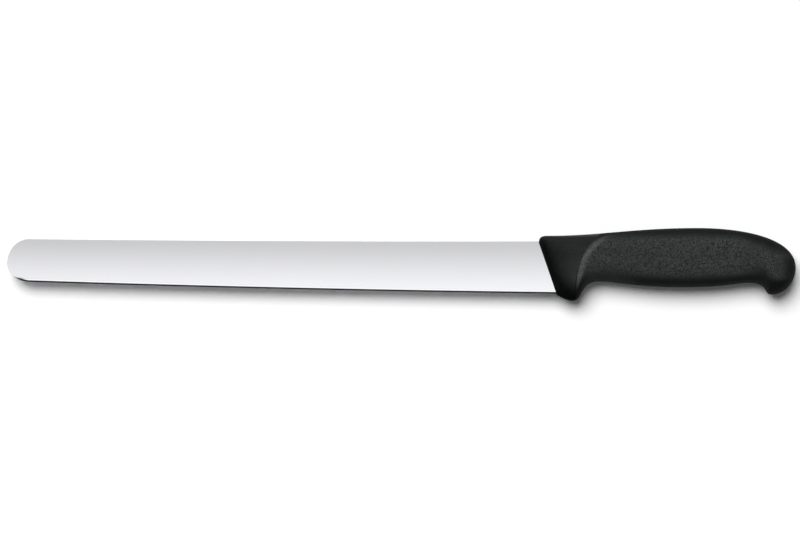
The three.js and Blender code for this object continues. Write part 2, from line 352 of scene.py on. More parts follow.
def rib_points(outlines, low_x, top_x, bow):
    """Points across the handle from its underside to its top, bowed forward by a share of the full bow."""
    top_outline, low_outline = outlines
    low = point_at(low_outline, low_x)
    top = point_at(top_outline, top_x)
    forward = np.array([low[1] - top[1], top[0] - low[0]])
    forward = forward / np.linalg.norm(forward) * bow
    low_third = lerp(low, top, 1 / 3) + forward * SHOULDER_LOW_BOW
    top_third = lerp(low, top, 2 / 3) + forward * SHOULDER_TOP_BOW
    return cubic([low, low_third, top_third, top], (1 + HEIGHTS) / 2)


def with_thickness(points, half):
    """A ring from flat points and the half thickness at each."""
    return np.column_stack([points, SIDES * half])


def drawn_in(ring, by):
    """The same ring, smaller by a distance all round."""
    middle_y = (ring[:, 1].max() + ring[:, 1].min()) / 2
    half_y = (ring[:, 1].max() - ring[:, 1].min()) / 2
    half_z = np.abs(ring[:, 2]).max()
    smaller = ring.copy()
    smaller[:, 1] = middle_y + (ring[:, 1] - middle_y) * (1 - by / half_y)
    smaller[:, 2] = ring[:, 2] * (1 - by / half_z)
    return smaller


def bar_ring(x, end_x, grow):
    """A ring of the bar inside the grip, or of the room for it."""
    taper = round_end((x - TANG_END) / (end_x - TANG_END))
    half_height = (tang_half(x) + CORE_WALL) * taper + grow
    half_thickness = (SHEET_HALF + CORE_SIDE_WALL) * taper + grow
    y = -TANG_DROP + half_height * HEIGHTS
    points = np.column_stack([np.full_like(y, x), y])
    return with_thickness(points, half_thickness * roundness(HEIGHTS, CORE_SQUARENESS))


def bar_rings(shoulder, grow):
    """The bar from where it leaves the shoulder face to just short of its round end."""
    end_x = TANG_END + CORE_END_WALL + grow
    mouth = bar_ring(BAR_START, end_x, grow)
    order = np.argsort(shoulder[:, 1])
    mouth[:, 0] = np.interp(mouth[:, 1], shoulder[order, 1], shoulder[order, 0])
    turns = math.pi / 2 * np.linspace(0.0, BAR_END_SHARE, BAR_STATIONS)
    return [mouth, *(bar_ring(x, end_x, grow) for x in lerp(BAR_START, end_x, np.sin(turns)))]


# PIECES


def to_frame(points):
    """Points of the knife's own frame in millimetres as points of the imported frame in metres."""
    heel = Vector((BLADE_LOW.x, BLADE_HIGH.y, (BLADE_LOW.z + BLADE_HIGH.z) / 2)) / MM
    offset = np.array([heel.x + BLADE_LENGTH, heel.y - SPINE_RISE, heel.z])
    return (np.asarray(points) + offset) * MM


def closed_skin(name, rings, sharp_columns=(), marks=None, domain="POINT"):
    """A mesh object from a row of rings, closed by a point at each end.

    Some columns of points are sharp lines. Points or faces carry marks for the finish, a row for each ring.
    """
    count = len(rings[0])
    first = np.mean(rings[0], axis=0)
    last = np.mean(rings[-1], axis=0)
    points = to_frame(np.vstack([*rings, first, last]))
    first_pole = len(rings) * count
    last_pole = first_pole + 1
    faces = []
    for r in range(len(rings) - 1):
        for k in range(count):
            n = (k + 1) % count
            faces.append((r * count + k, r * count + n, (r + 1) * count + n, (r + 1) * count + k))
    final = (len(rings) - 1) * count
    for k in range(count):
        n = (k + 1) % count
        faces.append((first_pole, n, k))
        faces.append((last_pole, final + k, final + n))
    mesh = bpy.data.meshes.new(name)
    mesh.from_pydata(points.tolist(), [], faces)
    mesh.update()
    shell = bmesh.new()
    shell.from_mesh(mesh)
    bmesh.ops.recalc_face_normals(shell, faces=shell.faces)
    sharp = set(sharp_columns)
    for edge in shell.edges:
        a, b = (v.index for v in edge.verts)
        along = max(a, b) < first_pole and a % count == b % count
        edge.smooth = not (along and a % count in sharp)
    for face in shell.faces:
        face.smooth = True
    if any(not edge.is_manifold for edge in shell.edges):
        raise RuntimeError(f"{name} isn't closed")
    shell.to_mesh(mesh)
    shell.free()
    for mark, rows in (marks or {}).items():
        layer = mesh.attributes.new(mark, "FLOAT", domain)
        values = np.zeros(len(layer.data))
        marked = np.ravel(rows[:-1] if domain == "FACE" else rows)
        values[: len(marked)] = marked
        layer.data.foreach_set("value", values)
    piece = bpy.data.objects.new(name, mesh)
    bpy.context.scene.collection.objects.link(piece)
    return piece


def settle(piece, node, material):
    """Gives a piece its finish and its place in the frame."""
    piece.data.materials.append(material)
    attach(piece, BODY)
    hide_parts(node)


def shallow_curve(x, start_x, start_y, heel_y, bow):
    """A shallow curve along the blade, which stays at the heel's height past the heel."""
    t = np.minimum((x - start_x) / -start_x, 1.0)
    return lerp(start_y, heel_y, t) + 4 * bow * t * (1 - t)


def blade_section(x, sizes):
    """Heights and half thicknesses of the blade at one place, from the spine down to the edge."""
    length = sizes.length / MM
    tip_x = -length
    tip_top_x = tip_x + TIP_TOP_REACH
    tip_low_x = tip_x + TIP_LOW_REACH
    tip_middle = SPINE_RISE - TIP_TOP_DROP
    spine = float(shallow_curve(x, tip_top_x, SPINE_RISE, 0.0, -SPINE_BOW))
    edge = float(shallow_curve(x, tip_low_x, SPINE_RISE - TIP_HEIGHT, -HEEL_HEIGHT, -EDGE_BELLY))
    top = spine
    if x < tip_top_x:
        top = tip_middle + TIP_TOP_DROP * math.sqrt(max(0.0, 1 - ((x - tip_top_x) / TIP_TOP_REACH) ** 2))
    low = edge
    if x < tip_low_x:
        drop = TIP_HEIGHT - TIP_TOP_DROP
        low = tip_middle - drop * math.sqrt(max(0.0, 1 - ((x - tip_low_x) / TIP_LOW_REACH) ** 2))
    keen = float(smoothstep(x, tip_x + KEEN_START, tip_x + KEEN_FULL))
    face_height = spine - edge - BAND_TOP
    spine_half = sizes.thickness / MM / 2

    def ground_half(y):
        down = spine - y
        wedge = (spine_half - BAND_TOP_HALF) / (HEEL_HEIGHT - BAND_TOP)
        return BAND_TOP_HALF + wedge * (face_height - down) + GRIND_CURVING * down * (face_height - down)

    step = min(RIM_STEP, (top - low) * TIP_RIM_SHARE)
    chamfer = min(SPINE_CHAMFER, (top - low) * TIP_CHAMFER_SHARE)
    face_low = low + lerp(2 * step, BAND_TOP, keen)
    ys = np.linspace(top - chamfer, min(face_low, top - 2 * chamfer), FACE_ROWS)
    rim_half = ground_half(top) - chamfer
    low_half = ground_half(low)
    heights = [top, top, *ys, low + lerp(step, BAND_LOW, keen), low, low]
    halves = [
        0.0,
        rim_half,
        *ground_half(ys),
        lerp(low_half, BAND_LOW_HALF, keen),
        lerp(low_half - step, EDGE_HALF, keen),
        0.0,
    ]
    return np.array(heights), np.array(halves)


def blade_ring(x, heights, halves):
    """A closed ring from a section's rows: down one side and back up the other."""
    down = np.column_stack([np.full_like(heights, x), heights, halves])
    up = down[::-1][1:-1] * np.array([1.0, 1.0, -1.0])
    return np.vstack([down, up])


def tang_ring(x, half_height, half_thickness, rows):
    """A ring of the tang with as many rows as the blade's."""
    heights = -TANG_DROP + half_height * np.linspace(1.0, -1.0, rows - 2)
    heights = np.array([heights[0], *heights, heights[-1]])
    halves = np.full(rows, half_thickness)
    halves[0] = 0.0
    halves[-1] = 0.0
    return blade_ring(x, heights, halves)


def blade_rings(sizes):
    """The blade from its round tip to the end of the hidden tang."""
    length = sizes.length / MM
    half_thickness = sizes.thickness / MM / 2
    turns = np.linspace(TIP_FIRST_TURN, math.pi / 2, TIP_STATIONS)
    tip_xs = -length + TIP_TOP_REACH * (1 - np.cos(turns))
    blade_xs = np.linspace(-length + TIP_TOP_REACH, 0.0, BLADE_STATIONS)[1:]
    rings = [blade_ring(x, *blade_section(x, sizes)) for x in [*tip_xs, *blade_xs, HEEL_DEPTH]]
    rows = len(rings[0]) // 2 + 1
    round_x = TANG_END - TANG_END_HEIGHT / 2
    for x in np.linspace(HEEL_DEPTH, round_x, TANG_STATIONS):
        rings.append(tang_ring(x, tang_half(x), half_thickness, rows))
    for turn in np.linspace(*TANG_END_TURNS, TANG_END_STATIONS):
        x = round_x + TANG_END_HEIGHT / 2 * math.sin(turn)
        rings.append(tang_ring(x, TANG_END_HEIGHT / 2 * math.cos(turn), half_thickness, rows))
    return rings


def grip_half(x, length, palm_half):
    """Half the thickness of the grip: it swells at the palm and rounds off at the butt."""
    places = [SHOULDER_TOP, BELLY[0], length - REAR_NOTCH_FROM_BUTT, length - HOOK_FROM_BUTT]
    halves = [GRIP_FRONT_HALF, palm_half, WAIST_HALF, HOOK_HALF]
    swell = np.full_like(x, halves[0])
    for i in range(len(places) - 1):
        share = smoothstep(x, places[i], places[i + 1])
        swell = np.where(x > places[i], lerp(halves[i], halves[i + 1], share), swell)
    return swell * round_end((x - length + BUTT_ROUNDING) / BUTT_ROUNDING)


def collar_ring(outlines, back):
    """A ring of the collar, a share of the way back from the front face to the shoulder line."""
    low_x = lerp(FRONT_LOW[0], SHOULDER_LOW, back)
    top_x = lerp(FRONT_TOP[0], SHOULDER_TOP, back)
    points = rib_points(outlines, low_x, top_x, back)
    full = lerp(COLLAR_FRONT_HALF, COLLAR_REAR_HALF, back)
    half = lerp(SHEET_HALF + FACE_WALL, full, round_end(1 - nose_depth(points) / NOSE_LENGTH))
    return with_thickness(points, half * roundness(HEIGHTS, COLLAR_SQUARENESS))


def collar_smooth(ring):
    """How smooth and dull the collar's skin is round a ring."""
    nose = smoothstep(nose_depth(ring), *COLLAR_SMOOTH_NOSE)
    edges = np.maximum(smoothstep(HEIGHTS, *COLLAR_SMOOTH_LOW), smoothstep(HEIGHTS, *COLLAR_SMOOTH_TOP))
    return np.maximum(nose, edges)


def grip_smooth_and_shade(ring, length):
    """How smooth and dull the grip's skin is round a ring; the same mark darkens the grip's colour there as
    painted shade.
    """
    x = ring[:, 0]
    from_butt = length - x
    fronted = smoothstep(x, *FRONT_SMOOTH_SPAN)
    low = smoothstep(HEIGHTS, *GRIP_SMOOTH_LOW)
    for zone, share in (
        (NOTCH_SMOOTH_LOW, smoothstep(from_butt, *NOTCH_SMOOTH_SPAN)),
        (HOOK_SMOOTH_LOW, smoothstep(from_butt, *HOOK_SMOOTH_SPAN)),
        (FRONT_SMOOTH_LOW, fronted),
        (GUARD_SMOOTH_LOW, smoothstep(x, *GUARD_SMOOTH_SPAN)),
    ):
        low = lerp(low, smoothstep(HEIGHTS, *zone), share)
    top = smoothstep(HEIGHTS, *GRIP_SMOOTH_TOP)
    top = lerp(top, smoothstep(HEIGHTS, *BUTT_SMOOTH_TOP), smoothstep(from_butt, *BUTT_SMOOTH_SPAN))
    top = lerp(top, smoothstep(HEIGHTS, *FRONT_SMOOTH_TOP), fronted)
    butt = smoothstep(from_butt, *GRIP_SMOOTH_BUTT)
    return np.maximum(butt, np.maximum(low, top))


def slot_rings(outlines, sizes):
    """The room for the tang, from its far end to the mouth in the collar's front face."""
    half_thickness = sizes.thickness / MM / 2
    rings = []
    for x, half_height in [
        (TANG_END + FIT, TANG_END_HEIGHT / 2),
        (HEEL_DEPTH + FIT, TANG_HEIGHT / 2),
    ]:
        y = -TANG_DROP + (half_height + FIT) * HEIGHTS
        rings.append(np.column_stack([np.full_like(y, x), y, SIDES * (half_thickness + FIT)]))
    section_y, section_half = blade_section(0.0, sizes)
    top = section_y[0] + FIT
    low = section_y[-1] - FIT
    y = lerp(low, top, (1 + HEIGHTS) / 2)
    half = np.interp(y, section_y[::-1][1:-1], section_half[::-1][1:-1]) + FIT
    mouth_x = np.maximum(front_x(y), corner_x(outlines, y))
    for x in (np.full_like(y, HEEL_DEPTH + FIT), mouth_x):
        rings.append(np.column_stack([x, y, SIDES * half]))
    for ring in rings:
        ring[[0, HALF_RING], 2] = 0.0
    return rings


def core_rings(outlines, sizes):
    """The core: the slot for the tang, the collar's face and sides, the seam, and the bar in the grip."""
    start = (corner_x(outlines, MOUTH_RISE) - FRONT_TOP[0]) / (SHOULDER_TOP - FRONT_TOP[0])
    backs = lerp(start, 1.0, np.linspace(0.0, 1.0, COLLAR_STATIONS) ** COLLAR_CROWDING)
    collar = [collar_ring(outlines, back) for back in backs]
    shoulder = collar[-1]
    seam = drawn_in(shoulder, SEAM_ROLL)
    collar[-1] = collar[-1] - np.array([SEAM_ROLL, 0.0, 0.0])
    return [*slot_rings(outlines, sizes), *collar, seam, *bar_rings(shoulder, 0.0)]


def grip_ring(outlines, low_x, shoulder, sizes):
    """A ring of the grip, and how strongly the ramp's painted highlight shows at each of its points.

    The grip leaves the collar flush and climbs a ramp that is longest at the top.
    """
    length = sizes.length / MM
    palm_half = sizes.palm_thickness / MM / 2
    slant = 1.0 - float(smoothstep(low_x, SHOULDER_LOW, BELLY[0]))
    top_x = low_x + (SHOULDER_TOP - SHOULDER_LOW) * slant
    points = rib_points(outlines, low_x, top_x, slant)
    up = (1 + HEIGHTS) / 2
    behind = points[:, 0] - shoulder[:, 0]
    climbed = np.clip(behind / lerp(RAMP_LOW, RAMP_TOP, up), 0.0, 1.0)
    collar = COLLAR_REAR_HALF * roundness(HEIGHTS, COLLAR_SQUARENESS)
    grip = grip_half(points[:, 0], length, palm_half) * roundness(HEIGHTS, GRIP_SQUARENESS)
    half = lerp(collar, grip, np.sin(math.pi / 2 * climbed))
    rise = smoothstep(behind / lerp(RAMP_LOW_RISE, RAMP_TOP_RISE, up), 0.0, 1.0)
    # The ramp's colour is painted paler as a highlight, fading towards the underside, the top and up the
    # ramp
    pale = np.clip(smoothstep(HEIGHTS, *RAMP_LOW_FADE) - climbed**RAMP_FADING, 0.0, 1.0)
    return with_thickness(points, half), rise * pale * smoothstep(HEIGHTS, *RAMP_TOP_FADE)


def grip_rings(outlines, sizes):
    """The grip's rings from the bore over the seam to the butt, and how strongly the ramp's painted
    highlight shows at each point.
    """
    length = sizes.length / MM
    shoulder = collar_ring(outlines, 1.0)
    shares = np.linspace(0.0, GRIP_END_SHARE, GRIP_STATIONS)
    backs = np.sin(math.pi / 2 * shares**GRIP_CROWDING)
    low_xs = lerp(SHOULDER_LOW + SEAM_ROLL + SEAM_GAP, length, backs)
    outside, ramp_highlights = zip(*[grip_ring(outlines, x, shoulder, sizes) for x in low_xs])
    seam = drawn_in(shoulder + np.array([SEAM_GAP, 0.0, 0.0]), SEAM_ROLL)
    bore = bar_rings(shoulder + np.array([SEAM_GAP, 0.0, 0.0]), FIT)
    hidden = np.zeros((len(bore) + 1, len(seam)))
    return [*reversed(bore), seam, *outside], np.vstack([hidden, *ramp_highlights])


# FINISHES


class Wiring:
    """A node tree, and short ways to add nodes to it."""

    def __init__(self, tree):
        self.tree = tree

    def node(self, kind, **settings):
        made = self.tree.nodes.new(kind)
        for key, value in settings.items():
            setattr(made, key, value)
        return made

    def feed(self, socket, source):
        if isinstance(source, bpy.types.NodeSocket):
            self.tree.links.new(source, socket)
        else:
            socket.default_value = source

    def maths(self, operation, first, second):
        made = self.node("ShaderNodeMath", operation=operation)
        self.feed(made.inputs[0], first)
        self.feed(made.inputs[1], second)
        return made.outputs["Value"]

    def ranged(self, value, from_range, to_range, shape="LINEAR"):
        made = self.node("ShaderNodeMapRange", interpolation_type=shape)
        made.inputs["From Min"].default_value = from_range[0]
        made.inputs["From Max"].default_value = from_range[1]
        made.inputs["To Min"].default_value = to_range[0]
        made.inputs["To Max"].default_value = to_range[1]
        self.feed(made.inputs["Value"], value)
        return made.outputs["Result"]

    def blended(self, share, start, end):
        made = self.node("ShaderNodeMix", data_type="FLOAT")
        self.feed(made.inputs["Factor"], share)
        self.feed(made.inputs["A"], start)
        self.feed(made.inputs["B"], end)
        return made.outputs["Result"]

    def curve(self, angle, stops):
        """A level that goes through a row of (degrees, level) stops."""
        made = self.node("ShaderNodeFloatCurve")
        points = made.mapping.curves[0].points
        top = max(level for _, level in stops)
        while len(points) < len(stops):
            points.new(0.5, 0.5)
        for point, (degrees, level) in zip(points, stops):
            point.location = ((degrees + 90) / 180, level / top)
            point.handle_type = "AUTO_CLAMPED"
        made.mapping.update()
        self.feed(made.inputs["Value"], self.ranged(angle, (-math.pi / 2, math.pi / 2), (0.0, 1.0)))
        return self.maths("MULTIPLY", made.outputs["Value"], top)

    def seen(self):
        """The ray's kind, and 1 for what the camera, a gloss or a clear material sees."""
        path = self.node("ShaderNodeLightPath")
        either = self.maths("MAXIMUM", path.outputs["Is Camera Ray"], path.outputs["Is Glossy Ray"])
        return path, self.maths("MAXIMUM", either, path.outputs["Is Transmission Ray"])


class Finish(Wiring):
    """A material with a principled shader, and short ways to add nodes to it."""

    def __init__(self, name):
        self.material = bpy.data.materials.new(name)
        self.material.use_nodes = True
        super().__init__(self.material.node_tree)
        self.shader = self.tree.nodes["Principled BSDF"]
        self.place = self.node("ShaderNodeTexCoord").outputs["Object"]

    def set(self, **sources):
        for name, source in sources.items():
            self.feed(self.shader.inputs[name.replace("_", " ")], source)

    def scaled(self, scale):
        mapping = self.node("ShaderNodeMapping")
        mapping.inputs["Scale"].default_value = scale
        self.feed(mapping.inputs["Vector"], self.place)
        return mapping.outputs["Vector"]

    def noise(self, vector, scale, detail, roughness=0.5):
        made = self.node("ShaderNodeTexNoise")
        made.inputs["Scale"].default_value = scale
        made.inputs["Detail"].default_value = detail
        made.inputs["Roughness"].default_value = roughness
        self.feed(made.inputs["Vector"], vector)
        return made.outputs["Fac"]

    def tinted(self, share, start, end):
        made = self.node("ShaderNodeMix", data_type="RGBA")
        colours = [socket for socket in made.inputs if socket.type == "RGBA"]
        for socket, colour in zip(colours, (start, end)):
            self.feed(socket, (*colour, 1.0) if isinstance(colour, tuple) else colour)
        self.feed(made.inputs["Factor"], share)
        return next(socket for socket in made.outputs if socket.type == "RGBA")

    def marked(self, mark):
        return self.node("ShaderNodeAttribute", attribute_name=mark).outputs["Fac"]

    def mottled(self, share, colour, shades):
        """A colour that goes from a darker shade of it to a lighter one."""
        return self.tinted(share, *(shaded(colour, shade) for shade in shades))

    def gloss_by_angle(self, levels):
        """A gloss that goes from one level, face on, to another where the surface turns away."""
        weight = self.node("ShaderNodeLayerWeight")
        weight.inputs["Blend"].default_value = 0.5
        return self.ranged(weight.outputs["Facing"], FACING_SPREAD, levels)

    def dulled(self, gloss):
        """A gloss that goes down where the skin is marked as smooth."""
        share = self.ranged(self.marked("smooth"), (0.0, 1.0), (1.0, SMOOTH_GLOSS))
        return self.maths("MULTIPLY", gloss, share)

    def bump(self, height, distance, before=None, strength=1.0):
        made = self.node("ShaderNodeBump")
        self.feed(made.inputs["Strength"], strength)
        made.inputs["Distance"].default_value = distance
        self.feed(made.inputs["Height"], height)
        if before is not None:
            self.feed(made.inputs["Normal"], before)
        return made.outputs["Normal"]


def shaded(colour, share):
    """A colour made darker or lighter by a share."""
    return tuple(min(1.0, c * share) for c in colour)


# Steel: how many marks and clouds there are in a metre each way, their depth and their shades, and the
# colours painted on the honed line and the bevel as a highlight and a dark reflection
GRIND_MARKS = (7000.0, 220.0, 220.0)
GRIND_SPREAD = (0.25, 0.75)
GRIND_DEPTH = 0.0002 * MM
GROUND_ROUGHNESS = (0.13, 0.16)
STEEL_CLOUDS = (35.0, 90.0, 90.0)
STEEL_SHADES = (0.99, 1.01)
# The honed line's steel is painted paler as a highlight, and its roughness is lower
HONED_PAINTED_HIGHLIGHT = (0.96, 0.96, 0.965)
HONED_ROUGHNESS = 0.06
# The bevel's steel is painted near black as a dark reflection
BEVEL_PAINTED_REFLECTION = (0.08, 0.08, 0.084)

# Moulded skins: how many clouds, pores and waves there are in a metre, their depths, shades and gloss, and
# the grip's painted highlight and painted shade
CLOUD_SPREAD = (0.3, 0.7)
FACING_SPREAD = (0.1, 0.75)
COLLAR_CLOUDS = 260.0
COLLAR_SHADES = (0.8, 1.2)
COLLAR_ROUGHNESS = (0.22, 0.3)
COLLAR_GLOSS = (0.48, 0.1)
COLLAR_PORES = 1900.0
COLLAR_PORE_DEPTH = 0.012 * MM
GRIP_WAVES = 900.0
GRIP_WAVE_DEPTH = 0.15 * MM
GRIP_ROUGHNESS = (0.36, 0.46)
GRIP_GLOSS = (1.02, 0.1)
PEBBLE_SPREAD = (0.55, 0.1)
PEBBLE_DEPTH = 0.18 * MM
CROWN_SHARE = 0.5
# How the pebbles' shades and gloss spread: darker between them as painted shade, and at random from one to
# the next
PIT_SPREAD = (0.15, 1.35)
PIT_LEVELS = (0.15, 1.85)
PIT_SHADES = (0.4, 1.0)
# A highlight painted as a paler colour along the ramp, and its shades over the pebbles
PAINTED_RAMP_HIGHLIGHT = (0.061, 0.063, 0.0625)
RAMP_HIGHLIGHT_SHADES = (0.6, 1.15)
RAMP_GLOSS = 0.8
# Where the grip is marked smooth: its gloss, its colour darkened as painted shade, its grain and its pits
SMOOTH_GLOSS = 0.05
SMOOTH_PAINTED_SHADE = 0.68
SMOOTH_GRAIN = 0.3
SMOOTH_PITS = 0.9


def steel_finish(looks):
    """Ground stainless steel with fine marks across it, a smoother honed line painted paler as a highlight,
    and a bevel painted near black as a dark reflection.
    """
    finish = Finish("ground_steel")
    marks = finish.noise(finish.scaled(GRIND_MARKS), 1.0, detail=3.0)
    clouds = finish.noise(finish.scaled(STEEL_CLOUDS), 1.0, detail=2.0)
    honed = finish.marked("honed")
    steel = finish.mottled(clouds, looks.steel, STEEL_SHADES)
    # The honed line is smoother, and its colour is painted paler as a highlight
    steel = finish.tinted(honed, steel, HONED_PAINTED_HIGHLIGHT)
    # The bevel's colour is painted near black as a dark reflection
    steel = finish.tinted(finish.marked("bevel"), steel, BEVEL_PAINTED_REFLECTION)
    roughness = finish.ranged(marks, GRIND_SPREAD, GROUND_ROUGHNESS)
    roughness = finish.blended(honed, roughness, HONED_ROUGHNESS)
    scored = finish.bump(marks, GRIND_DEPTH)
    finish.set(Metallic=1.0, Base_Color=steel, Roughness=roughness, Normal=scored)
    return finish.material


def collar_finish(looks):
    """Satin black plastic with the faint mottling of a moulded skin."""
    finish = Finish("satin_plastic")
    clouds = finish.noise(finish.place, COLLAR_CLOUDS, detail=3.0, roughness=0.6)
    pores = finish.noise(finish.place, COLLAR_PORES, detail=2.0)
    finish.set(
        Base_Color=finish.mottled(clouds, looks.collar, COLLAR_SHADES),
        Roughness=finish.ranged(clouds, CLOUD_SPREAD, COLLAR_ROUGHNESS),
        Specular_IOR_Level=finish.dulled(finish.gloss_by_angle(COLLAR_GLOSS)),
        Normal=finish.bump(pores, COLLAR_PORE_DEPTH),
    )
    return finish.material


def grip_finish(looks):
    """Soft black elastomer with a fine pebbled grain, painted paler along the ramp behind the collar as a
    highlight, and painted darker as shade along its top, underside and butt.
    """
    finish = Finish("pebbled_elastomer")
    pebbles = finish.node("ShaderNodeTexVoronoi")
    pebbles.inputs["Scale"].default_value = 1.0 / looks.grain
    finish.feed(pebbles.inputs["Vector"], finish.place)
    waves = finish.noise(finish.place, GRIP_WAVES, detail=3.0, roughness=0.6)
    crown = finish.ranged(pebbles.outputs["Distance"], PEBBLE_SPREAD, (0.0, 1.0))
    ramp = finish.marked("ramp")
    smooth = finish.marked("smooth")
    gloss = finish.dulled(finish.blended(ramp, finish.gloss_by_angle(GRIP_GLOSS), RAMP_GLOSS))
    grained = finish.ranged(smooth, (0.0, 1.0), (1.0, SMOOTH_GRAIN))
    # The grain's colour is darker between the pebbles as painted shade, and goes darker or lighter at
    # random from pebble to pebble
    mixed = finish.maths("ADD", finish.maths("MULTIPLY", crown, CROWN_SHARE), pebbles.outputs["Color"])
    pitted = finish.blended(smooth, finish.ranged(mixed, PIT_SPREAD, PIT_LEVELS), SMOOTH_PITS)
    skin = finish.mottled(pitted, looks.grip, PIT_SHADES)
    # Painted shade: the grip's colour is darker where it is marked smooth, along the top, the underside,
    # the hook and the butt
    skin = finish.tinted(smooth, skin, shaded(looks.grip, SMOOTH_PAINTED_SHADE))
    # Painted highlight: the ramp's colour is made paler where the ramp mark lies
    pale = finish.mottled(pitted, PAINTED_RAMP_HIGHLIGHT, RAMP_HIGHLIGHT_SHADES)
    waved = finish.bump(waves, GRIP_WAVE_DEPTH, strength=grained)
    finish.set(
        Base_Color=finish.tinted(ramp, skin, pale),
        Roughness=finish.ranged(waves, CLOUD_SPREAD, GRIP_ROUGHNESS),
        Specular_IOR_Level=finish.maths("MULTIPLY", gloss, pitted),
        Normal=finish.bump(crown, PEBBLE_DEPTH, waved, grained),
    )
    return finish.material


# STAGE


FLOOR_HALF = 6.0
CAMERA_LENS = 200.0
CAMERA_SENSOR = 36.0


def pale_floor(studio):
    """A wide floor that shows white and keeps the shadow."""
    corners = [(x * FLOOR_HALF, y * FLOOR_HALF, 0) for x, y in ((-1, -1), (1, -1), (1, 1), (-1, 1))]
    mesh = bpy.data.meshes.new("pale_floor")
    mesh.from_pydata(corners, [], [(0, 1, 2, 3)])
    floor = bpy.data.objects.new("pale_floor", mesh)
    bpy.context.scene.collection.objects.link(floor)
    material = bpy.data.materials.new("pale_floor")
    material.use_nodes = True
    wiring = Wiring(material.node_tree)
    wiring.tree.nodes.clear()
    paint = wiring.node("ShaderNodeBsdfDiffuse")
    paint.inputs["Color"].default_value = (*studio.floor, 1.0)
    glow = wiring.node("ShaderNodeEmission")
    _, seen = wiring.seen()
    wiring.feed(glow.inputs["Strength"], wiring.maths("MULTIPLY", seen, studio.floor_glow))
    both = wiring.node("ShaderNodeAddShader")
    wiring.feed(both.inputs[0], paint.outputs["BSDF"])
    wiring.feed(both.inputs[1], glow.outputs["Emission"])
    wiring.feed(wiring.node("ShaderNodeOutputMaterial").inputs["Surface"], both.outputs["Shader"])
    mesh.materials.append(material)


# Levels of the soft panels overhead, by how far a direction leans from straight up, in degrees
BANK_STOPS = (
    (-90.0, 0.3),
    (-60.0, 0.3),
    (-40.0, 0.34),
    (-33.0, 0.42),
    (-28.0, 0.62),
    (-24.0, 0.9),
    (-20.0, 1.04),
    (-14.0, 1.22),
    (-7.7, 1.095),
    (-2.0, 0.875),
    (3.4, 0.645),
    (9.0, 0.58),
    (18.0, 0.66),
    (30.0, 0.68),
    (46.0, 0.58),
    (62.0, 0.48),
    (90.0, 0.4),
)
SIDE_STOPS = (
    (-90.0, 0.1),
    (-38.0, 0.06),
    (-25.0, 0.12),
    (-16.5, 0.34),
    (-9.5, 0.7),
    (-5.0, 1.0),
    (20.0, 1.0),
    (34.0, 0.6),
    (50.0, 0.4),
    (90.0, 0.3),
)

# Walls that show in low gloss: where they take over, and their levels across, along and at the foot
WALL_COSINES = (math.cos(math.radians(42)), math.cos(math.radians(62)))
WALL_TURN = (-0.35, 0.35)
WALL_LEVELS = (0.35, 0.62)
WALL_LEANING = (-0.06, 0.06)
WALL_FOOT = (0.0, 0.5)
WALL_FOOT_LEVEL = 0.45

# Where the softbox stands, as seen from the knife
SOFTBOX_DIRECTION = (-0.26, 0.48, 1.0)


def studio_world(studio):
    """A room that is dim to lit surfaces, white behind the knife, and full of soft panels to its gloss."""
    world = bpy.data.worlds.new("studio")
    bpy.context.scene.world = world
    world.use_nodes = True
    wiring = Wiring(world.node_tree)
    wiring.tree.nodes.clear()
    place = wiring.node("ShaderNodeTexCoord").outputs["Generated"]
    split = wiring.node("ShaderNodeSeparateXYZ")
    wiring.feed(split.inputs["Vector"], place)
    across = wiring.maths("ARCTAN2", split.outputs["Y"], split.outputs["Z"])
    along = wiring.maths("ARCTAN2", split.outputs["X"], split.outputs["Z"])
    panels = wiring.maths("MULTIPLY", wiring.curve(across, BANK_STOPS), wiring.curve(along, SIDE_STOPS))
    walls = wiring.ranged(split.outputs["Y"], WALL_TURN, WALL_LEVELS, "SMOOTHSTEP")
    walls = wiring.maths("ADD", walls, wiring.ranged(split.outputs["X"], (-1.0, 1.0), WALL_LEANING))
    foot = wiring.ranged(split.outputs["Z"], WALL_FOOT, (WALL_FOOT_LEVEL, 1.0))
    walls = wiring.maths("MULTIPLY", walls, foot)
    low = wiring.ranged(split.outputs["Z"], WALL_COSINES, (0.0, 1.0), "SMOOTHSTEP")
    gloss = wiring.blended(low, panels, walls)
    path, seen = wiring.seen()
    shown = wiring.blended(path.outputs["Is Glossy Ray"], 1.0, gloss)
    back = wiring.node("ShaderNodeBackground")
    back.inputs["Color"].default_value = (1.0, 1.0, 1.0, 1.0)
    wiring.feed(back.inputs["Strength"], wiring.blended(seen, studio.room, shown))
    wiring.feed(wiring.node("ShaderNodeOutputWorld").inputs["Surface"], back.outputs["Background"])


def softbox(studio):
    """One large round softbox, up and to the left of the knife, far enough off to light it evenly."""
    lamp = bpy.data.lights.new("softbox", "SUN")
    lamp.angle = studio.softbox_angle
    lamp.energy = studio.softbox_strength
    box = bpy.data.objects.new("softbox", lamp)
    box.rotation_euler = Vector(SOFTBOX_DIRECTION).to_track_quat("Z", "Y").to_euler()
    box.visible_glossy = False
    box.visible_camera = False
    bpy.context.scene.collection.objects.link(box)


def camera_above(studio):
    """A camera straight over the knife."""
    data = bpy.data.cameras.new("camera")
    data.lens = CAMERA_LENS
    data.sensor_width = CAMERA_SENSOR
    camera = bpy.data.objects.new("camera", data)
    middle_z = (BLADE_LOW.z + BLADE_HIGH.z) / 2
    distance = studio.view_width * CAMERA_LENS / CAMERA_SENSOR
    camera.location = (studio.view_centre[0], studio.view_centre[1], middle_z + distance)
    bpy.context.scene.collection.objects.link(camera)
    bpy.context.scene.camera = camera


# SETTINGS


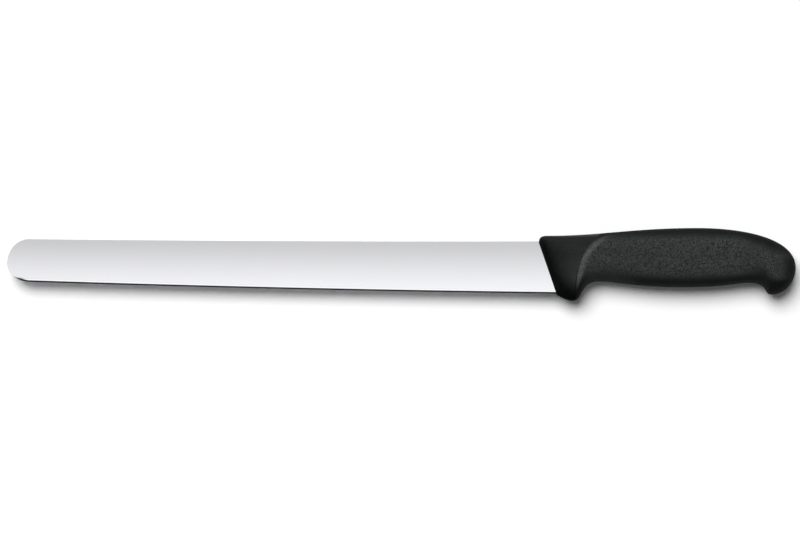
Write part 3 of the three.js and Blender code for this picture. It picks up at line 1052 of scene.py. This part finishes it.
class BladeSizes(PropertyGroup):
    """Sizes of the blade that a user would change."""

    length: FloatProperty(
        name="Length",
        description="From the tip to where the edge enters the handle",
        default=BLADE_LENGTH * MM,
        precision=4,
        unit="LENGTH",
    )
    thickness: FloatProperty(
        name="Thickness",
        description="Of the sheet that the blade is stamped from",
        default=BLADE_HIGH.z - BLADE_LOW.z,
        precision=5,
        unit="LENGTH",
    )


class HandleSizes(PropertyGroup):
    """Sizes of the handle that a user would change."""

    length: FloatProperty(
        name="Length",
        description="From the heel of the blade to the butt",
        default=GRIP_HIGH.x - BLADE_LOW.x - BLADE_LENGTH * MM,
        precision=4,
        unit="LENGTH",
    )
    palm_thickness: FloatProperty(
        name="Palm thickness",
        description="Thickness of the grip where it swells under the palm",
        default=GRIP_HIGH.z - GRIP_LOW.z,
        precision=4,
        unit="LENGTH",
    )


class KnifeLooks(PropertyGroup):
    """Colours and grain of the knife."""

    steel: FloatVectorProperty(
        name="Steel",
        description="Colour of the ground steel",
        default=(0.874, 0.876, 0.902),
        min=0.0,
        max=1.0,
        subtype="COLOR",
    )
    collar: FloatVectorProperty(
        name="Collar",
        description="Colour of the satin plastic",
        default=(0.0014, 0.0023, 0.0022),
        min=0.0,
        max=1.0,
        subtype="COLOR",
    )
    grip: FloatVectorProperty(
        name="Grip",
        description="Colour of the soft elastomer",
        default=(0.0085, 0.0105, 0.01),
        min=0.0,
        max=1.0,
        subtype="COLOR",
    )
    grain: FloatProperty(
        name="Grain",
        description="Size of the pebbles on the grip",
        default=0.5 * MM,
        precision=5,
        unit="LENGTH",
    )


class StudioSettings(PropertyGroup):
    """Light, floor and camera."""

    floor: FloatVectorProperty(
        name="Floor",
        description="Colour of the floor",
        default=(0.95, 0.95, 0.95),
        min=0.0,
        max=1.0,
        subtype="COLOR",
    )
    floor_glow: FloatProperty(
        name="Floor glow",
        description="What is added to the floor so that it shows white",
        default=0.037,
    )
    room: FloatProperty(
        name="Room",
        description="Level of the light from all round",
        default=0.075,
    )
    softbox_angle: FloatProperty(
        name="Softbox angle",
        description="How wide the softbox looks from the knife",
        default=math.radians(37.6),
        subtype="ANGLE",
    )
    softbox_strength: FloatProperty(
        name="Softbox strength",
        description="Light that the softbox throws on a surface that faces it",
        default=3.42,
    )
    view_width: FloatProperty(
        name="View width",
        description="Width of the picture at the blade",
        default=437.1 * MM,
        precision=4,
        unit="LENGTH",
    )
    view_centre: FloatVectorProperty(
        name="View centre",
        description="Where the camera stands over the knife",
        default=(-0.8 * MM, -1.1 * MM),
        size=2,
        precision=5,
        subtype="XYZ",
        unit="LENGTH",
    )


# OPERATORS


class KNIFE_OT_blade(Operator):
    """Build the ground blade with its hidden tang"""

    bl_idname = "knife.blade"
    bl_label = "Blade"

    def execute(self, context):
        rings = blade_rings(context.scene.knife_blade)
        count = len(rings[0])
        edge = count // 2 - 1
        bevel_top = edge - 1
        honed_top = edge - 2
        # Sharp along the spine's chamfer, the honed line, the bevel and the edge
        lines = [1, 2, honed_top, bevel_top, edge]
        mirrored = [count - line for line in lines]
        # The honed mark carries a painted highlight and the bevel mark a painted dark reflection
        marks = {}
        for mark, row in (("honed", honed_top), ("bevel", bevel_top)):
            marks[mark] = np.zeros((len(rings), count))
            marks[mark][:, [row, count - 1 - row]] = 1.0
        piece = closed_skin("ground_blade", rings, lines + mirrored, marks, "FACE")
        settle(piece, "blade", steel_finish(context.scene.knife_looks))
        return {"FINISHED"}


class KNIFE_OT_core(Operator):
    """Build the moulded core, which shows as the collar"""

    bl_idname = "knife.core"
    bl_label = "Core and collar"

    def execute(self, context):
        outlines = handle_outlines(context.scene.knife_handle.length / MM)
        rings = core_rings(outlines, context.scene.knife_blade)
        piece = closed_skin("collar_core", rings, marks={"smooth": [collar_smooth(ring) for ring in rings]})
        settle(piece, "handle_core", collar_finish(context.scene.knife_looks))
        return {"FINISHED"}


class KNIFE_OT_grip(Operator):
    """Build the grained grip"""

    bl_idname = "knife.grip"
    bl_label = "Grip"

    def execute(self, context):
        sizes = context.scene.knife_handle
        rings, ramp_highlights = grip_rings(handle_outlines(sizes.length / MM), sizes)
        # The smooth mark dulls the grip's gloss and darkens its colour as painted shade
        smooth = [grip_smooth_and_shade(ring, sizes.length / MM) for ring in rings]
        piece = closed_skin("pebbled_grip", rings, marks={"ramp": ramp_highlights, "smooth": smooth})
        settle(piece, "handle_grip", grip_finish(context.scene.knife_looks))
        return {"FINISHED"}


class KNIFE_OT_stage(Operator):
    """Set up the floor, the light and the camera"""

    bl_idname = "knife.stage"
    bl_label = "Stage"

    def execute(self, context):
        studio = context.scene.knife_studio
        pale_floor(studio)
        studio_world(studio)
        softbox(studio)
        camera_above(studio)
        context.scene.view_settings.view_transform = "Standard"
        return {"FINISHED"}


class KNIFE_PT_sidebar(Panel):
    """Lists the pieces of the knife and their settings"""

    bl_idname = "KNIFE_PT_sidebar"
    bl_label = "Ham knife"
    bl_space_type = "VIEW_3D"
    bl_region_type = "UI"
    bl_category = "Ham knife"

    def draw(self, context):
        layout = self.layout
        for operator in OPERATORS:
            layout.operator(operator.bl_idname)
        for group in GROUPS:
            settings = getattr(context.scene, group)
            for name in settings.__annotations__:
                layout.prop(settings, name)


GROUPS = {
    "knife_blade": BladeSizes,
    "knife_handle": HandleSizes,
    "knife_looks": KnifeLooks,
    "knife_studio": StudioSettings,
}
OPERATORS = (KNIFE_OT_blade, KNIFE_OT_core, KNIFE_OT_grip, KNIFE_OT_stage)
CLASSES = (*GROUPS.values(), *OPERATORS, KNIFE_PT_sidebar)


def register():
    for made in CLASSES:
        bpy.utils.register_class(made)
    for name, group in GROUPS.items():
        setattr(bpy.types.Scene, name, PointerProperty(type=group))


def unregister():
    for name in GROUPS:
        delattr(bpy.types.Scene, name)
    for made in reversed(CLASSES):
        bpy.utils.unregister_class(made)


def main():
    register()
    bpy.ops.knife.blade()
    bpy.ops.knife.core()
    bpy.ops.knife.grip()
    bpy.ops.knife.stage()


if __name__ == "__main__":
    main()
